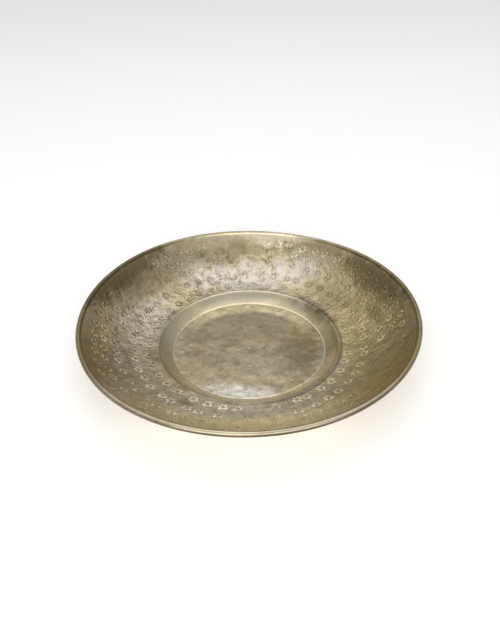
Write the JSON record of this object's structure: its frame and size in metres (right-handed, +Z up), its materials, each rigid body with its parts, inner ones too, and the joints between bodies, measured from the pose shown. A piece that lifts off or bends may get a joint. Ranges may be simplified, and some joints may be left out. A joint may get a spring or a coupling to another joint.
{
  "type": "round hammered brass tray",
  "caption": "Round shallow brass tray with a flat floor, a smooth cove, a bowl-shaped hammered wall and an edge rolled over a wire.",
  "frame": {"origin": "centre of the flat underside of the floor, on the surface that the tray stands on", "axes": "+Z up along the tray's axis of revolution; +X to the right as seen from the front"},
  "size_m": [0.355, 0.3548, 0.0522],
  "materials": {
    "brass_sheet": "aged satin, hammered and punched",
    "brass_wire": "drawn, dull"
  },
  "bodies": {
    "root": {"dish_body": "brass_sheet", "rim_wire": "brass_wire"}
  },
  "joints": []
}
